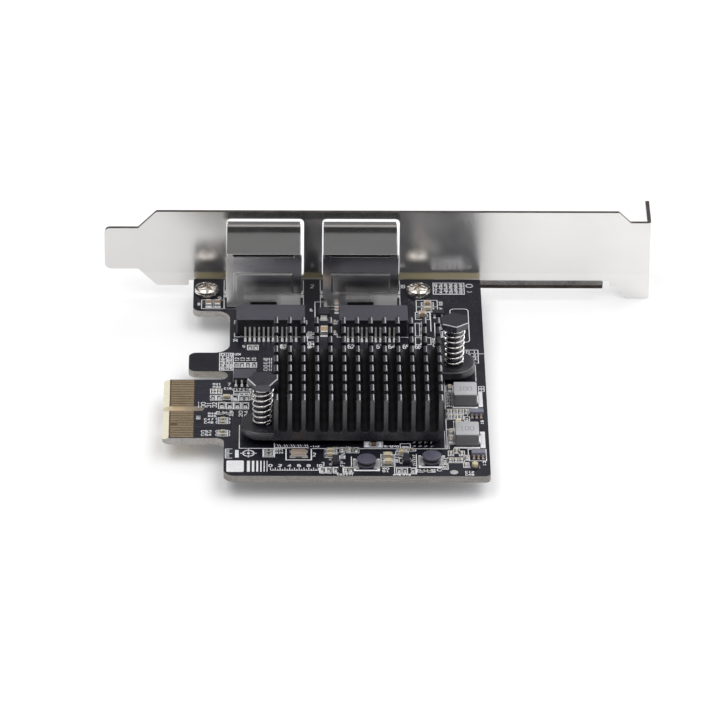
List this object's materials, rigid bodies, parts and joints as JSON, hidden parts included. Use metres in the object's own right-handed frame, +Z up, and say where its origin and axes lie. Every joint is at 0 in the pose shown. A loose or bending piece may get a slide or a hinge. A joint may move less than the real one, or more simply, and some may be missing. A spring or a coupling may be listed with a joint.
{
  "type": "network interface card",
  "caption": "Short expansion card with a full-height slot bracket, shielded plug ports, a finned heatsink held by sprung push pins and a bevelled edge connector.",
  "frame": {"origin": "middle of the bounding box on X and Y, at the lowest point of the card (mounting tab edge and push-pin barbs)", "axes": "+X along the bracket from its tongue to its mounting tab, +Y from the circuit board out through the ports, +Z up from the board's component face"},
  "size_m": [0.12, 0.0962, 0.0215],
  "materials": {
    "board": "glass-epoxy laminate under near-black navy solder mask, fine traces and white print",
    "gold_contact": "thin dull gold plating",
    "nickel_bracket": "bright satin nickel plate on sheet steel",
    "screw_nickel": "bright nickel plate",
    "shield_nickel": "mirror-bright nickel plate on thin sheet",
    "port_plastic": "satin black moulded plastic",
    "spring_gold": "gold-plated wire",
    "light_pipe": "clear moulded plastic",
    "black_anodised": "satin black anodised",
    "chip_black": "matt black mould compound",
    "thermal_pad": "soft grey silicone pad",
    "nylon_black": "satin black nylon",
    "spring_steel": "bright drawn spring wire",
    "trafo_black": "matt charcoal mould compound",
    "tinned_lead": "bright tin plate",
    "inductor_grey": "pressed iron powder, pale grey top and dark satin sides",
    "ferrite": "dark smooth ferrite",
    "enamel_copper": "enamelled copper wire",
    "crystal_metal": "satin metal lid with warm tint",
    "capacitor_tan": "tan and brown ceramic with tinned ends",
    "resistor_black": "black coated ceramic with tinned ends"
  },
  "bodies": {
    "card": {"circuit_board": "board", "edge_contacts_top": "gold_contact", "edge_contacts_bottom": "gold_contact", "bracket": "nickel_bracket", "bracket_screws": "screw_nickel", "port_shield_left": "shield_nickel", "port_shield_right": "shield_nickel", "port_housing_left": "port_plastic", "port_housing_right": "port_plastic", "port_contacts_left": "spring_gold", "port_contacts_right": "spring_gold", "port_light_pipes": "light_pipe", "heatsink": "black_anodised", "network_chips": "chip_black", "bridge_chip": "chip_black", "thermal_pads": "thermal_pad", "push_pin_spring_left": "spring_steel", "push_pin_spring_right": "spring_steel", "transformer_body_left": "trafo_black", "transformer_body_right": "trafo_black", "transformer_leads_left": "tinned_lead", "transformer_leads_right": "tinned_lead", "power_inductors": "inductor_grey", "drum_inductor_cores": "ferrite", "drum_inductor_windings": "enamel_copper", "crystal_can": "crystal_metal", "memory_chip": "chip_black", "memory_chip_leads": "tinned_lead", "converter_chips": "chip_black", "converter_chip_leads": "tinned_lead", "transistors": "chip_black", "transistor_leads": "tinned_lead", "surge_diode": "chip_black", "surge_diode_tabs": "tinned_lead", "ceramic_capacitors_small": "capacitor_tan", "ceramic_capacitors_large": "capacitor_tan", "chip_resistors": "resistor_black"},
    "left_pin": {"push_pin_left": "nylon_black"},
    "right_pin": {"push_pin_right": "nylon_black"}
  },
  "joints": [
    {"name": "left_pin_press", "type": "slide", "parent": "card", "child": "left_pin", "axis": [0, 0, -1], "range_m": [0, 0.003], "stiffness_N_per_m": 1100, "springref_m": -0.003, "deforming": ["push_pin_spring_left"]},
    {"name": "right_pin_press", "type": "slide", "parent": "card", "child": "right_pin", "axis": [0, 0, -1], "range_m": [0, 0.003], "stiffness_N_per_m": 1100, "springref_m": -0.003, "deforming": ["push_pin_spring_right"]}
  ]
}
